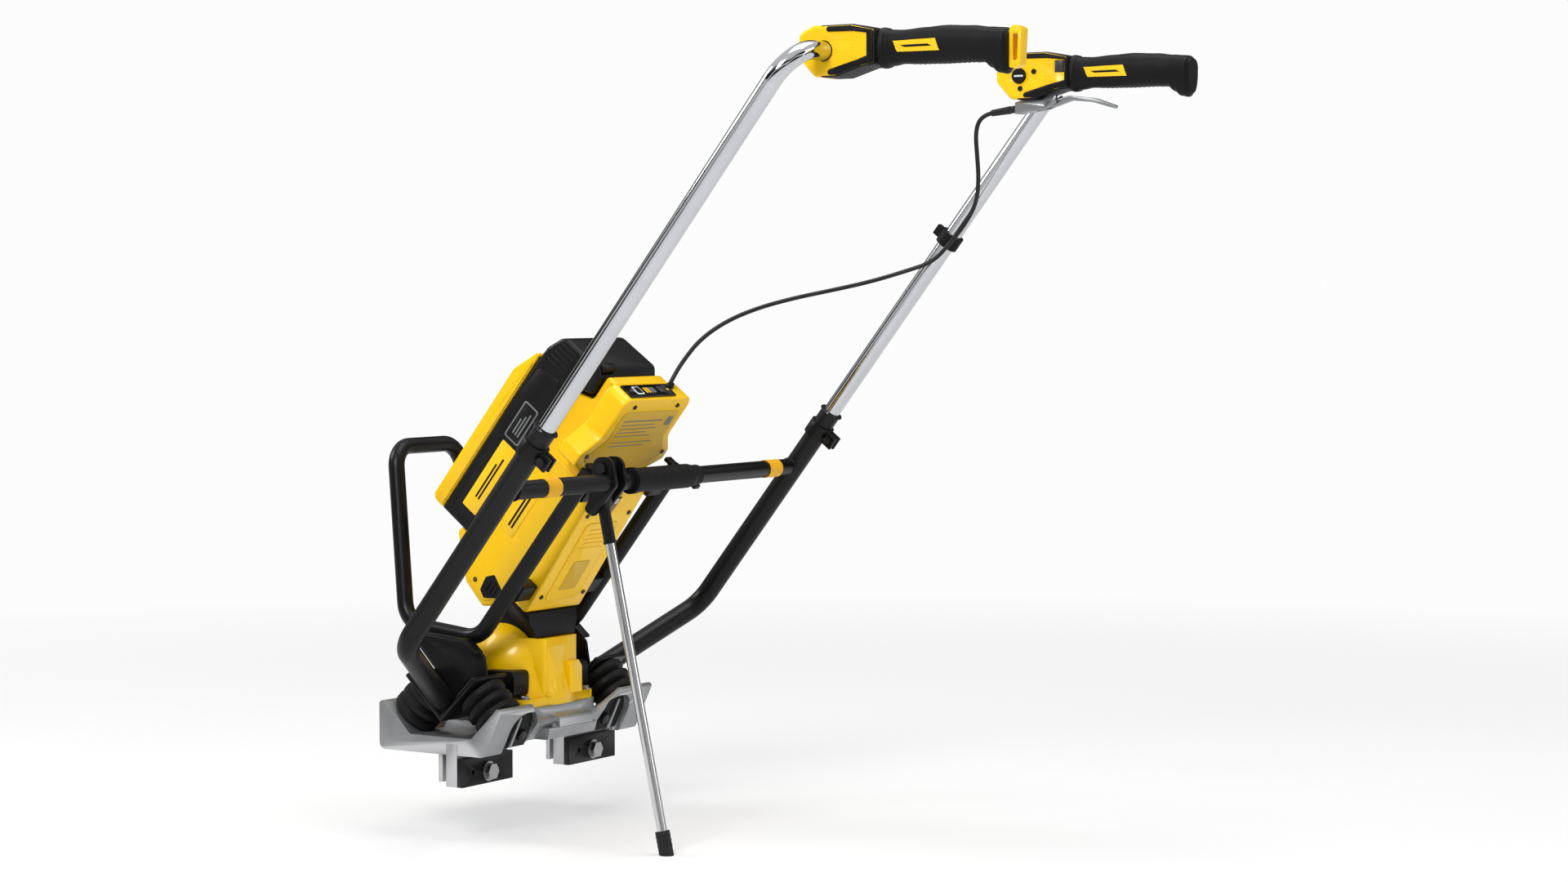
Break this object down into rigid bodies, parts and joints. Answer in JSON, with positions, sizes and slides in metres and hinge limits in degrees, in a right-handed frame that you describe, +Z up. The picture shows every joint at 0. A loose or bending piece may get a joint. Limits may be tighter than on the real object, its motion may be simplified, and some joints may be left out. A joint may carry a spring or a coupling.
{
  "type": "power screed",
  "caption": "Battery-powered concrete screed: bent-tube frame with long handles, tilted power head, isolated vibrating base with blade clamps, and a kickstand.",
  "frame": {"origin": "on the ground, at the bottom centre of the machine's bounding box as it stands on its kickstand", "axes": "+X is the operator's right, +Y forwards away from the operator, +Z up"},
  "size_m": [0.6838, 1.0178, 0.9872],
  "materials": {
    "black_coat": "satin black powder coat",
    "yellow_band": "yellow band",
    "black_rubber": "matt black",
    "dark_steel": "blackened",
    "cast_alloy": "as cast, lightly blasted",
    "mount_rubber": "matt black rubber",
    "yellow_paint": "gloss yellow",
    "black_plastic": "matt black",
    "bearing_steel": "ground",
    "yellow_plastic": "semi-gloss yellow",
    "panel_plastic": "gloss black",
    "key_plastic": "grey key",
    "winding_steel": "laminated core with windings",
    "boot_rubber": "matt black rubber",
    "board_plastic": "circuit board",
    "cable_jacket": "black sheath",
    "black_plate": "black coated steel",
    "bolt_steel": "zinc plated",
    "bright_tube": "polished",
    "grip_rubber": "soft overmould",
    "grey_alloy": "satin",
    "case_plastic": "fine texture, black",
    "cell_steel": "plain",
    "stand_alloy": "drawn, satin",
    "foot_rubber": "matt black rubber"
  },
  "bodies": {
    "chassis": {"left_frame_tube": "black_coat", "right_frame_tube": "black_coat", "crossbar": "black_coat", "crossbar_bands": "yellow_band", "carry_sleeve": "black_rubber", "lifting_loop": "black_coat", "loop_straps": "black_coat", "wedge_brackets": "black_coat", "gussets": "black_coat", "tube_collars": "black_coat", "collar_bolts": "dark_steel", "base_casting": "cast_alloy", "isolators": "mount_rubber", "base_bumpers": "mount_rubber", "exciter_housing": "yellow_paint", "vent_covers": "black_plastic", "shaft_bearings": "bearing_steel", "motor_housing": "yellow_plastic", "motor_cover": "yellow_plastic", "control_housing": "yellow_plastic", "control_panel": "panel_plastic", "motor_stator": "winding_steel", "coupling_boot": "boot_rubber", "controller_board": "board_plastic", "head_mounts": "black_coat", "housing_screws": "dark_steel", "throttle_cable": "cable_jacket", "stand_pivot_bolt": "dark_steel"},
    "left_handle": {"left_handle_tube": "bright_tube", "left_hub": "yellow_plastic", "left_grip": "grip_rubber", "left_grip_loop": "yellow_plastic"},
    "right_handle": {"right_handle_tube": "bright_tube", "right_hub": "yellow_plastic", "right_grip": "grip_rubber", "cable_clip": "black_rubber", "cable_ferrule": "dark_steel", "throttle_bracket": "grey_alloy", "lever_pin": "bolt_steel"},
    "lever": {"throttle_lever": "grey_alloy"},
    "dial": {"lock_dial": "black_plastic"},
    "grip_key": {"grip_button": "key_plastic"},
    "power_key": {"power_button": "key_plastic"},
    "rotor": {"motor_rotor": "bearing_steel", "drive_cup": "dark_steel"},
    "exciter_rotor": {"eccentric_shaft": "bearing_steel", "eccentric_weight": "dark_steel"},
    "battery": {"battery_case": "case_plastic", "battery_trim": "yellow_plastic", "battery_cells": "cell_steel"},
    "latch": {"battery_latch": "black_plastic"},
    "left_clamp": {"left_clamp_plate": "black_plate", "left_clamp_bolt": "bolt_steel"},
    "right_clamp": {"right_clamp_plate": "black_plate", "right_clamp_bolt": "bolt_steel"},
    "stand": {"stand_arm": "black_coat", "stand_rod": "stand_alloy", "stand_foot": "foot_rubber"}
  },
  "joints": [
    {"name": "left_handle_slide", "type": "slide", "parent": "chassis", "child": "left_handle", "axis": [0, -0.6179, 0.7863], "range_m": [-0.1, 0.08]},
    {"name": "right_handle_slide", "type": "slide", "parent": "chassis", "child": "right_handle", "axis": [0, -0.6179, 0.7863], "range_m": [-0.1, 0.08], "deforming": ["throttle_cable"]},
    {"name": "throttle", "type": "hinge", "parent": "right_handle", "child": "lever", "pos_m": [0.238, -0.3014, 0.9235], "axis": [-1, 0, 0], "range_deg": [0, 8], "stiffness_Nm_per_rad": 2, "springref_deg": -5.73},
    {"name": "dial_turn", "type": "hinge", "parent": "right_handle", "child": "dial", "pos_m": [0.215, -0.27088, 0.95822], "axis": [1, 0, 0], "range_deg": [0, 90]},
    {"name": "grip_key_press", "type": "slide", "parent": "right_handle", "child": "grip_key", "axis": [1, 0, 0], "range_m": [0, 0.001], "stiffness_N_per_m": 400, "springref_m": -0.001},
    {"name": "power_key_press", "type": "slide", "parent": "chassis", "child": "power_key", "axis": [0, 0.6179, -0.7863], "range_m": [0, 0.0008], "stiffness_N_per_m": 400, "springref_m": -0.001},
    {"name": "rotor_spin", "type": "hinge", "parent": "chassis", "child": "rotor", "pos_m": [0, 0.24435, 0.39648], "axis": [0, -0.6179, 0.7863], "continuous": true},
    {"name": "exciter_spin", "type": "hinge", "parent": "chassis", "child": "exciter_rotor", "pos_m": [0, 0.3451, 0.2], "axis": [0, 0, 1], "continuous": true},
    {"name": "battery_slide", "type": "slide", "parent": "chassis", "child": "battery", "axis": [0, -0.6179, 0.7863], "range_m": [0, 0.12]},
    {"name": "latch_press", "type": "slide", "parent": "battery", "child": "latch", "axis": [0, 0.6179, -0.7863], "range_m": [0, 0.0015], "stiffness_N_per_m": 500, "springref_m": -0.001},
    {"name": "left_clamp_open", "type": "slide", "parent": "chassis", "child": "left_clamp", "axis": [0, -1, 0], "range_m": [0, 0.008]},
    {"name": "right_clamp_open", "type": "slide", "parent": "chassis", "child": "right_clamp", "axis": [0, -1, 0], "range_m": [0, 0.008]},
    {"name": "stand_fold", "type": "hinge", "parent": "chassis", "child": "stand", "pos_m": [-0.108, 0.1286, 0.4726], "axis": [-1, 0, 0], "range_deg": [0, 110]}
  ],
  "couplings": [
    {"joint": "exciter_spin", "follows": "rotor_spin", "ratio": 1}
  ]
}
